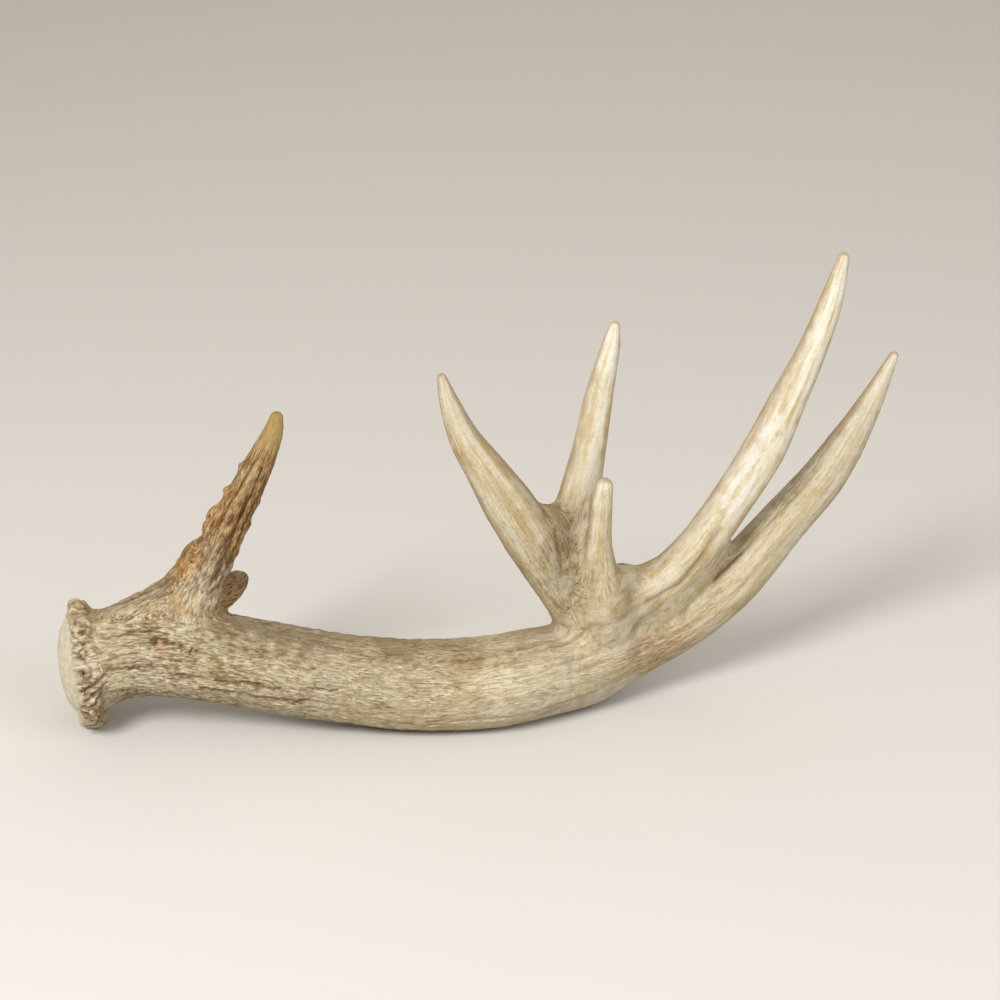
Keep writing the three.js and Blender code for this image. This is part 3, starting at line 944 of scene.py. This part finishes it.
class Nodes:
    """Short calls that add and link the nodes of one material."""

    def __init__(self, material):
        self.tree = material.node_tree

    def put(self, socket, value):
        if isinstance(value, bpy.types.NodeSocket):
            self.tree.links.new(value, socket)
        else:
            socket.default_value = value

    def add(self, kind, inputs, **settings):
        made = self.tree.nodes.new(kind)
        for name, value in settings.items():
            setattr(made, name, value)
        for name, value in inputs.items():
            self.put(made.inputs[name], value)
        return made

    def attribute(self, name, output="Fac"):
        return self.add("ShaderNodeAttribute", {}, attribute_name=name).outputs[output]

    def noise(self, vector, scale=1.0, detail=3.0, roughness=0.55):
        inputs = {"Vector": vector, "Scale": scale, "Detail": detail, "Roughness": roughness}
        return self.add("ShaderNodeTexNoise", inputs).outputs["Fac"]

    def math(self, operation, a, b=0.0, clamp=False):
        inputs = {0: a, 1: b}
        return self.add("ShaderNodeMath", inputs, operation=operation, use_clamp=clamp).outputs[0]

    def times(self, a, b, clamp=False):
        return self.math("MULTIPLY", a, b, clamp)

    def plus(self, a, b, clamp=False):
        return self.math("ADD", a, b, clamp)

    def minus(self, a, b):
        return self.math("SUBTRACT", a, b)

    def between(self, value, low, high, out_low=0.0, out_high=1.0):
        """The value mapped from low..high to out_low..out_high, smoothly and clamped."""
        inputs = {"Value": value, "From Min": low, "From Max": high}
        inputs |= {"To Min": out_low, "To Max": out_high}
        return self.add("ShaderNodeMapRange", inputs, interpolation_type="SMOOTHSTEP").outputs[0]

    def mix(self, share, a, b):
        """A colour part of the way from a to b."""
        return self.add("ShaderNodeMix", {"Factor": share, 6: a, 7: b}, data_type="RGBA").outputs[2]

    def pair(self, share, name):
        """Part of the way between the two ends of a named tone."""
        return self.mix(share, *(colour(*end) for end in PAIRS[name]))

    def mixed(self, share, a, b):
        """A number part of the way from a to b."""
        return self.plus(a, self.times(share, self.minus(b, a)))

    def ramp(self, value, name):
        """The colours of a named ramp."""
        made = self.add("ShaderNodeValToRGB", {"Fac": value})
        band = made.color_ramp.elements
        while len(band) < len(RAMPS[name]):
            band.new(0.5)
        for element, (place, shade) in zip(band, RAMPS[name]):
            element.position = place
            element.color = colour(*shade)
        return made.outputs["Color"]


def bone_material():
    """Dry antler bone. What changes from place to place is read from the skin's own tones."""
    bone = bpy.data.materials.new("antler_bone")
    bone.use_nodes = True
    shader = bone.node_tree.nodes["Principled BSDF"]
    n = Nodes(bone)
    place = n.add("ShaderNodeTexCoord", {}).outputs["Object"]
    grain = n.attribute("grain", "Vector")
    clear, rugged, cream, stain = (n.attribute(kind) for kind in ("clear", "rough", "cream", "stain"))
    dirt_and_shade, chalk = n.attribute("dirt_and_shade"), n.attribute("chalk")

    def along_grain(width, length, detail=3.0, roughness=0.55):
        """Noise drawn out along the grain, and plain noise where branches join."""
        scales = {0: grain, 1: (1 / width, 1 / width, 1 / length)}
        scaled = n.add("ShaderNodeVectorMath", scales, operation="MULTIPLY").outputs["Vector"]
        drawn = n.noise(scaled, 1, detail, roughness)
        plain = n.noise(place, 1 / (1.6 * width * MM), detail, roughness)
        return n.mixed(clear, plain, drawn)

    def thin_lines(pattern, width):
        """1 along the lines where a pattern passes its middle, 0 beside them."""
        return n.between(n.math("ABSOLUTE", n.minus(pattern, 0.5)), 0, width, 1, 0)

    # Patterns, from fine to broad.
    streak = n.mixed(rugged, along_grain(1.1, 12, 5, 0.65), along_grain(1.2, 3.6, 5, 0.7))
    grit = along_grain(0.6, 3, 2, 0.6)
    fleck = n.between(along_grain(0.8, 2.2, 2), 0.62, 0.72)
    soft = along_grain(3, 6, 5, 0.6)
    band = along_grain(4.5, 40)
    cloud = n.noise(place, 70, 5, 0.65)
    wide_cloud = n.noise(place, 25)
    tint = n.between(n.mixed(0.25, n.mixed(0.45, streak, grit), cloud), 0.41, 0.57)
    even_tint = n.mixed(0.5, n.mixed(0.5, cloud, soft), n.mixed(0.2, band, streak))

    # The bone's own colour, from the furrowed beam to the smooth tines.
    shade = n.mix(cream, n.ramp(tint, "beam"), n.ramp(n.between(even_tint, 0.38, 0.6), "tine"))
    halfway = n.times(n.times(cream, n.minus(1, cream)), 1.7)
    shade = n.mix(halfway, shade, colour(*HALFWAY))
    # Painted shade towards the outlines, on skin turned away from the lit side, with some darker unrubbed
    # bone.
    shaded_and_unrubbed = n.times(n.minus(1, n.attribute("lit_and_rubbed")), n.between(wide_cloud, 0.35, 0.65, 0.4, 0.85))
    shade = n.mix(shaded_and_unrubbed, shade, n.pair(cream, "shaded_and_unrubbed"))
    smooth = n.times(n.minus(1, rugged), n.between(cream, 0.2, 1, 0.65, 0.1))
    shade = n.mix(n.times(smooth, n.between(band, 0.5, 0.62)), shade, colour(*STREAK_LIGHT))
    shade = n.mix(n.times(smooth, n.between(band, 0.48, 0.38)), shade, colour(*STREAK_DARK))
    shade = n.mix(n.between(wide_cloud, 0.5, 0.68, 0, 0.35), shade, colour(*CLOUDED))
    tan_share = n.times(n.between(cloud, 0.52, 0.72), n.mixed(cream, 0.4, 0.22))
    shade = n.mix(tan_share, shade, n.pair(cream, "tan"))

    # Tones that lie on it in places.
    # Grey: greyish bone with painted shade in hollows, behind the brow tine and on the beam's top edge.
    grey_and_shade_share = n.times(n.attribute("grey_and_shade"), n.between(wide_cloud, 0.3, 0.6, 0.6, 1))
    shade = n.mix(grey_and_shade_share, shade, n.pair(tint, "grey_and_shade"))
    patchy = n.between(n.plus(stain, n.minus(cloud, 0.5)), 0.2, 0.75)
    shade = n.mix(patchy, shade, n.ramp(tint, "stained"))
    shade = n.mix(n.attribute("gold"), shade, n.pair(band, "gold"))
    shade = n.mix(n.attribute("orange"), shade, n.pair(tint, "orange"))
    # Pale bone, and painted light on the beam tip's flange and beside the brow tine's root.
    shade = n.mix(n.attribute("pale"), shade, n.pair(tint, "pale"))

    # Wear on the crests, dirt with painted shade in the furrows, pits and creases, cracks, dots and the
    # bare chalky seal.
    rubbed = n.times(n.attribute("crest"), n.between(grit, 0.4, 0.6, 0.25, 0.7))
    shade = n.mix(rubbed, shade, n.pair(stain, "rubbed"))
    dirt_and_shade_share = n.times(dirt_and_shade, n.between(soft, 0.3, 0.6, 0.8, 1.2), clamp=True)
    shade = n.mix(dirt_and_shade_share, shade, n.pair(cloud, "dirt_and_shade"))
    cracks = thin_lines(along_grain(3.2, 18, 2, 0.5), 0.035)
    cracks = n.times(cracks, n.between(along_grain(5, 12), 0.48, 0.6))
    cracks = n.times(cracks, n.between(rugged, 0, 1, 0.05, 0.5))
    fibre = n.times(thin_lines(along_grain(1.5, 6, 2, 0.5), 0.05), n.between(cloud, 0.42, 0.58))
    cracks = n.math("MAXIMUM", cracks, n.times(fibre, n.times(rugged, 0.4)))
    cracks = n.times(cracks, n.minus(1, chalk))
    shade = n.mix(cracks, shade, colour(*CRACKS))
    dots = n.times(fleck, n.between(cream, 0, 1, 0.4, 0.15))
    shade = n.mix(dots, shade, colour(*DOTS))
    shade = n.mix(chalk, shade, n.pair(n.noise(place, 300, 5, 0.8), "chalk"))
    n.put(shader.inputs["Base Color"], shade)

    rough = n.between(band, 0.3, 0.7, 0.52, 0.68)
    rough = n.plus(rough, n.times(dirt_and_shade, 0.2), clamp=True)
    rough = n.plus(rough, n.times(chalk, 0.25), clamp=True)
    n.put(shader.inputs["Roughness"], rough)
    shader.inputs["Specular IOR Level"].default_value = 0.35

    height = n.times(streak, n.between(cream, 0, 1, 1.5, 0.15))
    height = n.minus(height, n.times(cracks, 0.6))
    height = n.plus(height, n.times(n.noise(place, 900, 2), 0.25))
    height = n.minus(height, n.times(dots, 0.4))
    height = n.plus(height, n.times(n.noise(place, 1700, 1), 0.2))
    bump = n.add("ShaderNodeBump", {"Strength": 1, "Distance": BUMP * MM, "Height": height})
    n.put(shader.inputs["Normal"], bump.outputs["Normal"])
    return bone


# --- Stage ---
def area_light(name, place, size, power, tint):
    """A round light that faces AIM."""
    light = bpy.data.lights.new(name, "AREA")
    light.shape = "DISK"
    light.size = size
    light.energy = power
    light.color = tint
    made = linked(name, light)
    made.location = place
    away = np.subtract(place, AIM)
    turn = math.atan2(away[0], -away[1])
    made.rotation_euler = (math.atan2(math.hypot(away[0], away[1]), away[2]), 0, turn)


def add_stage():
    """A plain pale floor and room, and soft lights."""
    corners = np.array([(-1, -1, 0), (1, -1, 0), (1, 1, 0), (-1, 1, 0)]) * FLOOR_REACH
    floor = mesh_object("floor", corners, [(0, 1, 2, 3)])
    pale = bpy.data.materials.new("pale_floor")
    pale.use_nodes = True
    shader = pale.node_tree.nodes["Principled BSDF"]
    shader.inputs["Base Color"].default_value = (*FLOOR, 1)
    shader.inputs["Roughness"].default_value = 0.9
    floor.data.materials.append(pale)
    world = bpy.data.worlds.new("room")
    world.use_nodes = True
    background = world.node_tree.nodes["Background"]
    background.inputs["Color"].default_value = (*ROOM, 1)
    background.inputs["Strength"].default_value = ROOM_STRENGTH
    bpy.context.scene.world = world
    for light in LIGHTS:
        area_light(*light)
    bpy.context.scene.view_settings.view_transform = "Standard"


def add_camera():
    """24 degrees above the table, through an 85 mm lens."""
    camera = bpy.data.cameras.new("camera")
    camera.lens = 85
    camera.sensor_width = 36
    camera.clip_start = 0.01
    made = linked("camera", camera)
    made.location = CAMERA_PLACE
    made.rotation_euler = (math.radians(CAMERA_TILT), 0, 0)
    bpy.context.scene.camera = made


def add_antler():
    """Grows the skin, gives it relief and tones, and cuts it into one piece for each node."""
    lines = {name: centre_line(stations) for name, stations in BRANCHES.items()}
    points, faces = base_surface(lines)
    _, slope = grown_distance(points, lines)
    slope /= np.linalg.norm(slope, axis=1, keepdims=True)
    fine = {name: centre_line(stations, FINE_STEP) for name, stations in BRANCHES.items()}
    met = distances(fine, points)
    found = shared_out(met)
    height, dirt_and_shade = relief(found, points)
    values = tones(found, points)
    values["dirt_and_shade"] = np.clip(dirt_and_shade, 0, 1)
    values["crest"] = smooth_step(0.1, 0.8, height)
    ragged = noise(points / 5, SEED_LIT_AND_RUBBED) * 0.25
    # 1 on the lit, rubbed side; skin turned away from it is painted in shade.
    values["lit_and_rubbed"] = smooth_step(0.3, 0.9, slope @ unit(LIT_AND_RUBBED_SIDE) + ragged)
    grain, clear = grain_field(found, len(points))
    values["clear"] = clear * (1 - values["chalk"])
    points = points + slope * height[:, None]
    points[:, 2] = np.maximum(points[:, 2], 0)
    normals = smooth_normals(points, faces)
    owners = face_owners(met, faces, TIP_FROM * lines["beam"]["along"][-1])
    bone = bone_material()
    for number, (name, slot) in enumerate(SLOT_OF.items()):
        piece = add_piece(name + "_bone", points, normals, values, grain, faces[owners == number])
        piece.data.materials.append(bone)
        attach(piece, "root")
        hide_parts(name)


def main():
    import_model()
    add_antler()
    add_stage()
    add_camera()


main()
